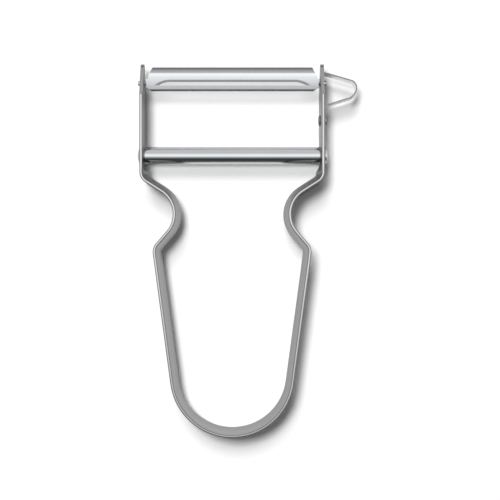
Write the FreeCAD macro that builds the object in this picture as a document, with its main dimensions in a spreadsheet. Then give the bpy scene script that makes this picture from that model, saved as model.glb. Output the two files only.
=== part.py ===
import FreeCAD, Part

import math
import os
import Sketcher
from FreeCAD import Vector

# A swivel peeler lying flat: +Y runs from the grip to the blade, +X to the eye remover and +Z up
# from the table. The origin lies on the table, in the middle of the strip's edge at the bottom of the grip.
# Driving dimensions in millimetres and degrees.
SIZES = {
    # The strip that makes the grip and the arms.
    "band_width": 12.0,
    "band_thickness": 1.0,
    "band_edge_share": 0.38,
    "band_arch": 1.45,
    "base_radius": 17.8,
    "side_taper": 7.7,
    "hip_radius": 3.4,
    "hip_angle": 40.6,
    "notch_radius": 7.55,
    "notch_waist": 34.86,
    "brow_angle": 57.7,
    "bend_radius": 3.1,
    "arm_root_height": 77.46,
    "root_straight": 0.35,
    "arm_gap": 52.4,
    "tip_radius": 2.2,
    "tip_taper_length": 9.8,
    # Heights above the foot of each arm.
    "bar_rise": 5.24,
    "pivot_rise": 21.6,
    "tip_rise": 5.7,
    # The cross bar and the rivet through it.
    "bar_diameter": 5.3,
    "bar_wall": 0.9,
    "tie_diameter": 2.8,
    "tie_head_diameter": 4.9,
    "tie_head_height": 1.0,
    "head_rim": 0.4,
    "head_margin": 0.15,
    "rivet_play": 0.05,
    # The blade, measured from its pivot axis.
    "blade_thickness": 0.6,
    "blade_end_play": 0.15,
    "blade_lean": 9.0,
    "blade_front": 2.32,
    "blade_crest": 1.9,
    "crown_radius": 36.0,
    "front_radius": 0.9,
    "roll_radius": 9.0,
    "roll_angle": 6.7,
    "flange_bend_radius": 0.6,
    "flange_angle": 52.0,
    "flange_length": 2.02,
    "slot_margin": 3.95,
    "slot_above": 0.46,
    "slot_below": 0.54,
    "slot_end_radius": 6.8,
    "lip_width": 0.7,
    "lip_depth": 0.085,
    "neck_height": 2.8,
    "neck_length": 0.6,
    "shoulder_back": 2.16,
    "shoulder_front": 2.0,
    "journal_diameter": 1.7,
    "journal_play": 0.05,
    "journal_root": 0.4,
    "journal_reach": 0.9,
    "journal_round": 0.3,
    # The eye remover and its rivet.
    "eye_thickness": 0.4,
    "eye_width": 4.4,
    "eye_reach": 9.85,
    "eye_drop": 1.53,
    "eye_upper_radius": 2.0,
    "eye_lower_radius": 3.1,
    "eye_upper_slope": 16.2,
    "eye_lower_slope": 17.3,
    "eye_bend_radius": 1.8,
    "eye_foot_tail": 2.2,
    "eye_end_gap": 0.1,
    "eye_rivet_rise": 10.5,
    "eye_rivet_diameter": 1.6,
    "eye_head_diameter": 3.1,
    "eye_head_height": 0.65,
    "eye_tail_diameter": 2.6,
    "eye_tail_height": 0.65,
}

# Places that follow from those dimensions, as expressions on the sheet.
MID = "(Sizes.band_width / 2)"
HALF_BAND = "(Sizes.band_thickness / 2)"
EDGE_RADIUS = "(Sizes.band_thickness * Sizes.band_edge_share)"
ARM_INNER = "(Sizes.arm_gap / 2)"
ARM_LINE = f"({ARM_INNER} + {HALF_BAND})"
ARM_OUTER = f"({ARM_INNER} + Sizes.band_thickness)"
ARCH_TOP = "(Sizes.arm_root_height + Sizes.root_straight)"
BAR_HEIGHT = "(Sizes.arm_root_height + Sizes.bar_rise)"
FLAT_START = f"({BAR_HEIGHT} - Sizes.tie_head_diameter / 2 - Sizes.head_margin)"
PIVOT_HEIGHT = f"({BAR_HEIGHT} + Sizes.pivot_rise)"
TIP_HEIGHT = f"({PIVOT_HEIGHT} + Sizes.tip_rise)"
TAPER_START = f"({TIP_HEIGHT} - Sizes.tip_taper_length)"
BEYOND_TIP = f"({TIP_HEIGHT} + 2 * Sizes.tip_radius)"
NOTCH_LINE_RADIUS = f"(Sizes.notch_radius + {HALF_BAND})"
NOTCH_CENTRE = "(Sizes.notch_waist / 2 + Sizes.notch_radius)"
ARCH_RADIUS = "((Sizes.band_width ^ 2 / 4 + Sizes.band_arch ^ 2) / (2 * Sizes.band_arch))"
EDGE_SHIFT = f"({EDGE_RADIUS} * Sizes.band_width / 2 / ({ARCH_RADIUS} - Sizes.band_arch))"
TIE_HOLE = "(Sizes.tie_diameter / 2 + Sizes.rivet_play)"
EYE_RIVET_HEIGHT = f"({BAR_HEIGHT} + Sizes.eye_rivet_rise)"
EYE_RIVET_HOLE = "(Sizes.eye_rivet_diameter / 2 + Sizes.rivet_play)"
EYE_OUTER = f"({ARM_OUTER} + Sizes.eye_thickness)"
EYE_LINE = f"({ARM_OUTER} + Sizes.eye_thickness / 2)"
EYE_TIP = f"({ARM_OUTER} + Sizes.eye_reach - Sizes.eye_thickness / 2)"
EYE_UPPER_LINE = "(Sizes.eye_upper_radius + Sizes.eye_thickness / 2)"
EYE_LOWER_LINE = "(Sizes.eye_lower_radius + Sizes.eye_thickness / 2)"
EYE_NOSE_HEIGHT = f"({PIVOT_HEIGHT} - Sizes.eye_drop)"
BLADE_END = f"({ARM_INNER} - Sizes.blade_end_play)"
SLOT_END = f"({BLADE_END} - Sizes.slot_margin)"
JOURNAL_END = f"({ARM_OUTER} + Sizes.journal_reach)"
HALF_BLADE = "(Sizes.blade_thickness / 2)"
BEND_OUTER = f"(Sizes.flange_bend_radius + {HALF_BLADE})"
BEND_INNER = f"(Sizes.flange_bend_radius - {HALF_BLADE})"
BEND_Y = f"(Sizes.blade_crest + (Sizes.roll_radius - {BEND_OUTER}) * sin(Sizes.roll_angle * 1 deg))"
BEND_BACK = f"({BEND_Y} + {BEND_OUTER} * sin(Sizes.flange_angle * 1 deg))"
FLANGE_BACK = f"({BEND_BACK} + Sizes.flange_length * cos(Sizes.flange_angle * 1 deg))"

doc = FreeCAD.newDocument("peeler")
sheet = doc.addObject("Spreadsheet::Sheet", "Sizes")
for row, (alias, number) in enumerate(SIZES.items(), start=1):
    sheet.set(f"A{row}", alias)
    sheet.set(f"B{row}", str(number))
    sheet.setAlias(f"B{row}", alias)
doc.recompute()


def size(expression):
    """The value of an expression on the sheet, in millimetres or degrees."""
    result = sheet.evalExpression(expression)
    return float(getattr(result, "Value", result))


def angle(alias):
    return math.radians(size(f"Sizes.{alias}"))


def new_body(name):
    body = doc.addObject("PartDesign::Body", name)
    body.Label = name
    return body


def place(body, x=None, y=None, z=None):
    for axis, expression in (("x", x), ("y", y), ("z", z)):
        if expression:
            body.setExpression(f".Placement.Base.{axis}", expression)


def origin_plane(body, role):
    return next(feature for feature in body.Origin.OriginFeatures if feature.Role == role)


def new_sketch(body, role, name, offset=None):
    sketch = body.newObject("Sketcher::SketchObject", name)
    sketch.AttachmentSupport = [(origin_plane(body, role), "")]
    sketch.MapMode = "FlatFace"
    if offset:
        sketch.setExpression(".AttachmentOffset.Base.z", offset)
    return sketch


def bind(sketch, kind, references, expression):
    """A dimension of the sketch that follows the sheet."""
    number = size(expression)
    if kind == "Angle":
        number = math.radians(number)
    index = sketch.addConstraint(Sketcher.Constraint(kind, *references, number))
    sketch.setExpression(f"Constraints[{index}]", expression)


def join(sketch, kind, pairs):
    for first, first_point, second, second_point in pairs:
        sketch.addConstraint(Sketcher.Constraint(kind, first, first_point, second, second_point))


def line(start, end):
    return Part.LineSegment(start, end)


def arc(centre, start, end):
    """The arc about the centre that runs counter-clockwise from start to end."""
    first = math.atan2(start.y - centre.y, start.x - centre.x)
    last = math.atan2(end.y - centre.y, end.x - centre.x)
    if last <= first:
        last += 2 * math.pi
    circle = Part.Circle(centre, Vector(0, 0, 1), (start - centre).Length)
    return Part.ArcOfCircle(circle, first, last)


def closed_outline(sketch, points):
    """Straight lines through the points and back to the first; the line of index i starts at points[i]."""
    count = len(points)
    for index in range(count):
        sketch.addGeometry(line(points[index], points[(index + 1) % count]))
    join(sketch, "Coincident", [(index, 2, (index + 1) % count, 1) for index in range(count)])


def circle_at(sketch, x, y, radius):
    """A circle whose centre and radius follow the sheet; x or y left out lies on that axis."""
    centre = Vector(size(x) if x else 0, size(y) if y else 0)
    index = sketch.addGeometry(Part.Circle(centre, Vector(0, 0, 1), size(radius)))
    bind(sketch, "Radius", (index,), radius)
    if x:
        bind(sketch, "DistanceX", (-1, 1, index, 3), x)
    else:
        sketch.addConstraint(Sketcher.Constraint("PointOnObject", index, 3, -2))
    if y:
        bind(sketch, "DistanceY", (-1, 1, index, 3), y)
    else:
        sketch.addConstraint(Sketcher.Constraint("PointOnObject", index, 3, -1))


def pad(body, sketch, name, length, both_sides=False):
    feature = body.newObject("PartDesign::Pad", name)
    feature.Profile = sketch
    feature.Midplane = both_sides
    feature.setExpression("Length", length)
    doc.recompute()
    return feature


def cut_through(body, sketch, name, both_sides=True, reverse=False):
    feature = body.newObject("PartDesign::Pocket", name)
    feature.Profile = sketch
    feature.Type = "ThroughAll"
    feature.Midplane = both_sides
    feature.Reversed = reverse
    doc.recompute()
    return feature


def sweep(body, profile, path, name):
    feature = body.newObject("PartDesign::AdditivePipe", name)
    feature.Profile = profile
    feature.Spine = path
    doc.recompute()
    return feature


def mirror_whole(body, name):
    """Repeats the whole body so far on the other side of the plane of symmetry."""
    feature = body.newObject("PartDesign::Mirrored", name)
    feature.TransformMode = "Whole shape"
    feature.MirrorPlane = (origin_plane(body, "YZ_Plane"), [""])
    body.Tip = feature
    doc.recompute()
    return feature


def revolve_about_x(body, sketch, name):
    feature = body.newObject("PartDesign::Revolution", name)
    feature.Profile = sketch
    feature.ReferenceAxis = (sketch, ["H_Axis"])
    feature.Angle = 360
    doc.recompute()
    return feature


# The strip's frame.

def grip_path(body):
    """The right half of the strip's middle line, from the bottom of the grip to the foot of the arm."""
    taper = angle("side_taper")
    hip = angle("hip_angle")
    brow = angle("brow_angle")
    base_radius = size("Sizes.base_radius")
    hip_radius = size("Sizes.hip_radius")
    notch_radius = size(NOTCH_LINE_RADIUS)
    bend_radius = size("Sizes.bend_radius")
    side_way = Vector(math.sin(taper), math.cos(taper))
    hip_way = Vector(-math.sin(hip), math.cos(hip))
    brow_way = Vector(math.sin(brow), math.cos(brow))

    base_centre = Vector(0, base_radius)
    side_foot = base_centre + Vector(math.cos(taper), -math.sin(taper)) * base_radius
    bend_top = Vector(size(ARM_LINE), size("Sizes.arm_root_height"))
    bend_length = bend_radius * math.tan(brow / 2)
    bend_corner = bend_top - Vector(0, bend_length)
    bend_foot = bend_corner - brow_way * bend_length
    notch_top_x = size(NOTCH_CENTRE) - notch_radius * math.cos(brow)
    notch_top = bend_corner - brow_way * ((bend_corner.x - notch_top_x) / math.sin(brow))
    notch_centre = notch_top + Vector(math.cos(brow), -math.sin(brow)) * notch_radius
    notch_foot = notch_centre - Vector(math.cos(hip), math.sin(hip)) * notch_radius
    to_notch = notch_foot - side_foot
    side_length = to_notch.cross(hip_way).z / side_way.cross(hip_way).z
    hip_corner = side_foot + side_way * side_length
    hip_length = hip_radius * math.tan((taper + hip) / 2)
    hip_foot = hip_corner - side_way * hip_length
    hip_top = hip_corner + hip_way * hip_length
    hip_centre = hip_foot + Vector(-math.cos(taper), math.sin(taper)) * hip_radius
    arch_top = Vector(size(ARM_LINE), size(ARCH_TOP))

    sketch = new_sketch(body, "XY_Plane", "GripPath")
    base_arc = sketch.addGeometry(arc(base_centre, Vector(0, 0), side_foot))
    side = sketch.addGeometry(line(side_foot, hip_foot))
    hip_arc = sketch.addGeometry(arc(hip_centre, hip_foot, hip_top))
    hip_run = sketch.addGeometry(line(hip_top, notch_foot))
    notch_arc = sketch.addGeometry(arc(notch_centre, notch_top, notch_foot))
    brow_run = sketch.addGeometry(line(notch_top, bend_foot))
    bend_arc = sketch.addGeometry(arc(bend_top - Vector(bend_radius, 0), bend_foot, bend_top))
    arm = sketch.addGeometry(line(bend_top, arch_top))
    join(sketch, "Tangent", [
        (base_arc, 2, side, 1),
        (side, 2, hip_arc, 1),
        (hip_arc, 2, hip_run, 1),
        (hip_run, 2, notch_arc, 2),
        (notch_arc, 1, brow_run, 1),
        (brow_run, 2, bend_arc, 1),
        (bend_arc, 2, arm, 1),
    ])
    join(sketch, "Coincident", [(base_arc, 1, -1, 1)])
    sketch.addConstraint(Sketcher.Constraint("PointOnObject", base_arc, 3, -2))
    sketch.addConstraint(Sketcher.Constraint("Vertical", arm))
    bind(sketch, "Radius", (base_arc,), "Sizes.base_radius")
    bind(sketch, "Radius", (hip_arc,), "Sizes.hip_radius")
    bind(sketch, "Radius", (notch_arc,), NOTCH_LINE_RADIUS)
    bind(sketch, "Radius", (bend_arc,), "Sizes.bend_radius")
    bind(sketch, "Angle", (side,), "90 deg - Sizes.side_taper * 1 deg")
    bind(sketch, "Angle", (hip_run,), "90 deg + Sizes.hip_angle * 1 deg")
    bind(sketch, "Angle", (brow_run,), "90 deg - Sizes.brow_angle * 1 deg")
    bind(sketch, "DistanceX", (-1, 1, notch_arc, 3), NOTCH_CENTRE)
    bind(sketch, "DistanceX", (-1, 1, arm, 1), ARM_LINE)
    bind(sketch, "DistanceY", (-1, 1, arm, 1), "Sizes.arm_root_height")
    bind(sketch, "DistanceY", (-1, 1, arm, 2), ARCH_TOP)
    return sketch


def strip_section(sketch, middle, bow="0"):
    """The strip's section with round edges. Both wide sides bow to the inside by the same rise.

    The sketch looks along the strip with the inside of the grip on its right.
    """
    width = size("Sizes.band_width")
    corner_radius = size(EDGE_RADIUS)
    arch_radius = size(ARCH_RADIUS)

    def other_edge(point):
        return Vector(point.x, width - point.y)

    def add_side(side, corner_way):
        """One wide side and its two corners; corner_way is -1 where they lie left of it, else 1."""
        if size(bow):
            centre = Vector(size(f"{side} + {bow}") - arch_radius, width / 2)
            reach = arch_radius + corner_way * corner_radius
            corner_reach = math.sqrt(reach ** 2 - (width / 2 - corner_radius) ** 2)
            corner = Vector(centre.x + corner_reach, corner_radius)
            touch = centre + (corner - centre) * (arch_radius / reach)
            face = sketch.addGeometry(arc(centre, touch, other_edge(touch)))
            bind(sketch, "Radius", (face,), ARCH_RADIUS)
            bind(sketch, "DistanceX", (-1, 1, face, 3), f"{side} + {bow} - {ARCH_RADIUS}")
            bind(sketch, "DistanceY", (-1, 1, face, 3), MID)
        else:
            touch = Vector(size(side), corner_radius)
            corner = touch + Vector(corner_way * corner_radius, 0)
            face = sketch.addGeometry(line(touch, other_edge(touch)))
            sketch.addConstraint(Sketcher.Constraint("Vertical", face))
            bind(sketch, "DistanceX", (-1, 1, face, 1), side)
        foot = Vector(corner.x, 0)
        if corner_way < 0:
            low = sketch.addGeometry(arc(corner, foot, touch))
            high = sketch.addGeometry(arc(other_edge(corner), other_edge(touch), other_edge(foot)))
        else:
            low = sketch.addGeometry(arc(corner, touch, foot))
            high = sketch.addGeometry(arc(other_edge(corner), other_edge(foot), other_edge(touch)))
        for rounding in (low, high):
            bind(sketch, "Radius", (rounding,), EDGE_RADIUS)
        return face, low, high, foot

    inner, inner_low, inner_high, inner_foot = add_side(f"{middle} + {HALF_BAND}", -1)
    outer, outer_low, outer_high, outer_foot = add_side(f"{middle} - {HALF_BAND}", 1)
    bottom = sketch.addGeometry(line(outer_foot, inner_foot))
    top = sketch.addGeometry(line(other_edge(inner_foot), other_edge(outer_foot)))
    join(sketch, "Tangent", [
        (bottom, 2, inner_low, 1),
        (inner_low, 2, inner, 1),
        (inner, 2, inner_high, 1),
        (inner_high, 2, top, 1),
        (top, 2, outer_high, 1),
        (outer_high, 2, outer, 2),
        (outer, 1, outer_low, 1),
        (outer_low, 2, bottom, 1),
    ])
    for end in (1, 2):
        sketch.addConstraint(Sketcher.Constraint("PointOnObject", bottom, end, -1))
        bind(sketch, "DistanceY", (-1, 1, top, end), "Sizes.band_width")


def across_arm(body, name, height):
    """A sketch across the right arm that looks up the arm, with the inside of the frame on its right."""
    sketch = new_sketch(body, "XZ_Plane", name)
    sketch.AttachmentOffset = FreeCAD.Placement(Vector(), FreeCAD.Rotation(Vector(0, 1, 0), 180))
    sketch.setExpression(".AttachmentOffset.Base.z", f"-({height})")
    return sketch


def tip_outline(body):
    """What is cut off the end of the right arm to leave two tapered edges and a round tip."""
    width = size("Sizes.band_width")
    taper_start = size(TAPER_START)
    tip_radius = size("Sizes.tip_radius")
    beyond = size(BEYOND_TIP)
    centre = Vector(size(TIP_HEIGHT) - tip_radius, width / 2)
    low_corner = Vector(taper_start, 0)
    high_corner = Vector(taper_start, width)
    to_centre = centre - low_corner
    slope = math.atan2(to_centre.y, to_centre.x) - math.asin(tip_radius / to_centre.Length)
    low_touch = centre + Vector(math.sin(slope), -math.cos(slope)) * tip_radius
    high_touch = centre + Vector(math.sin(slope), math.cos(slope)) * tip_radius

    sketch = new_sketch(body, "YZ_Plane", "TipOutline")
    low_edge = sketch.addGeometry(line(low_corner, Vector(beyond, 0)))
    end = sketch.addGeometry(line(Vector(beyond, 0), Vector(beyond, width)))
    high_edge = sketch.addGeometry(line(Vector(beyond, width), high_corner))
    high_taper = sketch.addGeometry(line(high_corner, high_touch))
    tip = sketch.addGeometry(arc(centre, low_touch, high_touch))
    low_taper = sketch.addGeometry(line(low_touch, low_corner))
    join(sketch, "Coincident", [
        (low_edge, 2, end, 1),
        (end, 2, high_edge, 1),
        (high_edge, 2, high_taper, 1),
        (low_taper, 2, low_edge, 1),
    ])
    join(sketch, "Tangent", [(high_taper, 2, tip, 2), (tip, 1, low_taper, 1)])
    sketch.addConstraint(Sketcher.Constraint("Horizontal", low_edge))
    sketch.addConstraint(Sketcher.Constraint("Vertical", end))
    sketch.addConstraint(Sketcher.Constraint("Horizontal", high_edge))
    sketch.addConstraint(Sketcher.Constraint("PointOnObject", low_edge, 1, -1))
    bind(sketch, "DistanceX", (-1, 1, end, 1), BEYOND_TIP)
    bind(sketch, "DistanceX", (-1, 1, low_edge, 1), TAPER_START)
    bind(sketch, "DistanceX", (-1, 1, high_edge, 2), TAPER_START)
    bind(sketch, "DistanceY", (end, 1, end, 2), "Sizes.band_width")
    bind(sketch, "Radius", (tip,), "Sizes.tip_radius")
    bind(sketch, "DistanceX", (-1, 1, tip, 3), f"{TIP_HEIGHT} - Sizes.tip_radius")
    bind(sketch, "DistanceY", (-1, 1, tip, 3), MID)
    return sketch


def make_handle_band():
    """The strip. Its bowed section lies a little outside the path, to keep the edge's flat on the path."""
    body = new_body("handle_band")
    path = grip_path(body)
    grip_section = new_sketch(body, "YZ_Plane", "GripSection")
    strip_section(grip_section, f"-{EDGE_SHIFT}", bow="Sizes.band_arch")
    doc.recompute()
    sweep(body, grip_section, path, "Grip")

    fade_foot = across_arm(body, "FadeFoot", ARCH_TOP)
    strip_section(fade_foot, f"-{ARM_LINE} - {EDGE_SHIFT}", bow="Sizes.band_arch")
    fade_top = across_arm(body, "FadeTop", FLAT_START)
    strip_section(fade_top, f"-{ARM_LINE}")
    doc.recompute()
    fade = body.newObject("PartDesign::AdditiveLoft", "Fade")
    fade.Profile = fade_foot
    fade.Sections = [fade_top]
    doc.recompute()

    pad(body, fade_top, "Arm", f"{TIP_HEIGHT} + Sizes.tip_radius - {FLAT_START}")
    cut_through(body, tip_outline(body), "Tip")
    mirror_whole(body, "BothSides")

    both_arms = new_sketch(body, "YZ_Plane", "ArmHoles")
    circle_at(both_arms, PIVOT_HEIGHT, MID, "Sizes.journal_diameter / 2 + Sizes.journal_play")
    circle_at(both_arms, BAR_HEIGHT, MID, TIE_HOLE)
    cut_through(body, both_arms, "PivotAndTieHoles")
    right_arm = new_sketch(body, "YZ_Plane", "RightArmHole")
    circle_at(right_arm, EYE_RIVET_HEIGHT, MID, EYE_RIVET_HOLE)
    cut_through(body, right_arm, "EyeRivetHole", both_sides=False, reverse=True)
    return body


# The cross bar and the rivets.

def make_spacer_tube():
    body = new_body("spacer_tube")
    ring = new_sketch(body, "YZ_Plane", "Ring")
    circle_at(ring, None, None, "Sizes.bar_diameter / 2")
    circle_at(ring, None, None, "Sizes.bar_diameter / 2 - Sizes.bar_wall")
    pad(body, ring, "Tube", "Sizes.arm_gap", both_sides=True)
    place(body, y=BAR_HEIGHT, z=MID)
    return body


def rivet(name, shank, left, left_head, right, right_head, height):
    """A rivet along X: each end gives the face its head sits on and the head's diameter and height."""
    left_diameter, left_height = left_head
    right_diameter, right_height = right_head
    body = new_body(name)
    sketch = new_sketch(body, "XY_Plane", "Outline")
    rim = "Sizes.head_rim"
    left_face, right_face = size(left), size(right)
    shank_radius = size(shank) / 2
    left_radius, right_radius = size(left_diameter) / 2, size(right_diameter) / 2
    left_rim, right_rim = left_face - size(rim), right_face + size(rim)
    left_end, right_end = left_face - size(left_height), right_face + size(right_height)

    def dome_centre(rim_x, radius, end_x):
        rise = end_x - rim_x
        return Vector(end_x - (radius ** 2 + rise ** 2) / (2 * rise), 0)

    left_centre = dome_centre(left_rim, left_radius, left_end)
    right_centre = dome_centre(right_rim, right_radius, right_end)
    edges = [
        line(Vector(left_end, 0), Vector(right_end, 0)),
        arc(right_centre, Vector(right_end, 0), Vector(right_rim, right_radius)),
        line(Vector(right_rim, right_radius), Vector(right_face, right_radius)),
        line(Vector(right_face, right_radius), Vector(right_face, shank_radius)),
        line(Vector(right_face, shank_radius), Vector(left_face, shank_radius)),
        line(Vector(left_face, shank_radius), Vector(left_face, left_radius)),
        line(Vector(left_face, left_radius), Vector(left_rim, left_radius)),
        arc(left_centre, Vector(left_rim, left_radius), Vector(left_end, 0)),
    ]
    for edge in edges:
        sketch.addGeometry(edge)
    axis, right_dome, right_side, right_seat, side, left_seat, left_side, left_dome = range(len(edges))
    join(sketch, "Coincident", [(index, 2, (index + 1) % len(edges), 1) for index in range(len(edges))])
    sketch.addConstraint(Sketcher.Constraint("PointOnObject", axis, 1, -1))
    for flat in (axis, right_side, side, left_side):
        sketch.addConstraint(Sketcher.Constraint("Horizontal", flat))
    for seat in (right_seat, left_seat):
        sketch.addConstraint(Sketcher.Constraint("Vertical", seat))
    for dome in (right_dome, left_dome):
        sketch.addConstraint(Sketcher.Constraint("PointOnObject", dome, 3, -1))
    bind(sketch, "DistanceX", (-1, 1, right_seat, 1), right)
    bind(sketch, "DistanceX", (-1, 1, left_seat, 2), left)
    bind(sketch, "DistanceX", (-1, 1, right_side, 1), f"{right} + {rim}")
    bind(sketch, "DistanceX", (-1, 1, left_side, 2), f"{left} - {rim}")
    bind(sketch, "DistanceX", (-1, 1, axis, 2), f"{right} + {right_height}")
    bind(sketch, "DistanceX", (-1, 1, axis, 1), f"{left} - {left_height}")
    bind(sketch, "DistanceY", (-1, 1, right_seat, 2), f"{shank} / 2")
    bind(sketch, "DistanceY", (-1, 1, right_seat, 1), f"{right_diameter} / 2")
    bind(sketch, "DistanceY", (-1, 1, left_seat, 2), f"{left_diameter} / 2")
    doc.recompute()
    revolve_about_x(body, sketch, "Rivet")
    place(body, y=height, z=MID)
    return body


def make_tie_rivet():
    head = ("Sizes.tie_head_diameter", "Sizes.tie_head_height")
    return rivet("tie_rivet", "Sizes.tie_diameter", f"-{ARM_OUTER}", head, EYE_OUTER, head, BAR_HEIGHT)


def make_eye_remover_rivet():
    head = ("Sizes.eye_head_diameter", "Sizes.eye_head_height")
    tail = ("Sizes.eye_tail_diameter", "Sizes.eye_tail_height")
    shank = "Sizes.eye_rivet_diameter"
    return rivet("eye_remover_rivet", shank, ARM_INNER, head, EYE_OUTER, tail, EYE_RIVET_HEIGHT)


# The eye remover: a thin strip with a long foot on the right arm and a loop beside the blade.

def eye_path(body):
    """The strip's middle line: up the foot, out along the lower leg, round the nose and back to the arm."""
    upper = angle("eye_upper_slope")
    lower = angle("eye_lower_slope")
    upper_radius = size(EYE_UPPER_LINE)
    lower_radius = size(EYE_LOWER_LINE)
    bend_radius = size("Sizes.eye_bend_radius")
    tip = Vector(size(EYE_TIP), size(EYE_NOSE_HEIGHT))
    upper_centre = tip - Vector(upper_radius, 0)
    lower_centre = tip - Vector(lower_radius, 0)
    foot_x = size(EYE_LINE)
    end_x = size(ARM_OUTER) + size("Sizes.eye_end_gap")
    lower_way = Vector(math.cos(lower), math.sin(lower))
    upper_way = Vector(-math.cos(upper), math.sin(upper))
    nose_low = lower_centre + Vector(math.sin(lower), -math.cos(lower)) * lower_radius
    nose_high = upper_centre + Vector(math.sin(upper), math.cos(upper)) * upper_radius
    bend_corner = nose_low - lower_way * ((nose_low.x - foot_x) / math.cos(lower))
    bend_length = bend_radius * math.tan((math.pi / 2 - lower) / 2)
    bend_foot = bend_corner - Vector(0, bend_length)
    bend_top = bend_corner + lower_way * bend_length
    bend_centre = bend_foot + Vector(bend_radius, 0)
    leg_end = nose_high + upper_way * ((nose_high.x - end_x) / math.cos(upper))
    foot_end = Vector(foot_x, size(BAR_HEIGHT) - size("Sizes.eye_foot_tail"))

    sketch = new_sketch(body, "XY_Plane", "EyePath")
    foot = sketch.addGeometry(line(foot_end, bend_foot))
    bend = sketch.addGeometry(arc(bend_centre, bend_top, bend_foot))
    lower_leg = sketch.addGeometry(line(bend_top, nose_low))
    lower_nose = sketch.addGeometry(arc(lower_centre, nose_low, tip))
    upper_nose = sketch.addGeometry(arc(upper_centre, tip, nose_high))
    upper_leg = sketch.addGeometry(line(nose_high, leg_end))
    join(sketch, "Tangent", [
        (foot, 2, bend, 2),
        (bend, 1, lower_leg, 1),
        (lower_leg, 2, lower_nose, 1),
        (lower_nose, 2, upper_nose, 1),
        (upper_nose, 2, upper_leg, 1),
    ])
    sketch.addConstraint(Sketcher.Constraint("Vertical", foot))
    join(sketch, "Horizontal", [(lower_nose, 3, upper_nose, 3)])
    bind(sketch, "DistanceX", (-1, 1, foot, 1), EYE_LINE)
    bind(sketch, "DistanceY", (-1, 1, foot, 1), f"{BAR_HEIGHT} - Sizes.eye_foot_tail")
    bind(sketch, "Radius", (bend,), "Sizes.eye_bend_radius")
    bind(sketch, "Radius", (lower_nose,), EYE_LOWER_LINE)
    bind(sketch, "Radius", (upper_nose,), EYE_UPPER_LINE)
    bind(sketch, "DistanceX", (-1, 1, upper_nose, 1), EYE_TIP)
    bind(sketch, "DistanceY", (-1, 1, upper_nose, 3), EYE_NOSE_HEIGHT)
    bind(sketch, "Angle", (lower_leg,), "Sizes.eye_lower_slope * 1 deg")
    bind(sketch, "Angle", (upper_leg,), "180 deg - Sizes.eye_upper_slope * 1 deg")
    bind(sketch, "DistanceX", (-1, 1, upper_leg, 2), f"{ARM_OUTER} + Sizes.eye_end_gap")
    return sketch


def make_eye_remover():
    body = new_body("eye_remover")
    path = eye_path(body)
    strip = across_arm(body, "StripSection", f"{BAR_HEIGHT} - Sizes.eye_foot_tail")
    low = size(MID) - size("Sizes.eye_width") / 2
    high = low + size("Sizes.eye_width")
    near, far = -size(ARM_OUTER), -size(EYE_OUTER)
    closed_outline(strip, [Vector(far, low), Vector(near, low), Vector(near, high), Vector(far, high)])
    for index, kind in enumerate(("Horizontal", "Vertical", "Horizontal", "Vertical")):
        strip.addConstraint(Sketcher.Constraint(kind, index))
    bind(strip, "DistanceX", (-1, 1, 1, 1), f"-{ARM_OUTER}")
    bind(strip, "DistanceX", (-1, 1, 0, 1), f"-{EYE_OUTER}")
    bind(strip, "DistanceY", (-1, 1, 0, 1), f"{MID} - Sizes.eye_width / 2")
    bind(strip, "DistanceY", (1, 1, 1, 2), "Sizes.eye_width")
    doc.recompute()
    sweep(body, strip, path, "Strip")

    holes = new_sketch(body, "YZ_Plane", "FootHoles")
    circle_at(holes, BAR_HEIGHT, MID, TIE_HOLE)
    circle_at(holes, EYE_RIVET_HEIGHT, MID, EYE_RIVET_HOLE)
    cut_through(body, holes, "FootRivetHoles")
    return body


# The blade, built about its pivot axis. At rest its slotted top faces up and leans a little to the grip.

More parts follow.
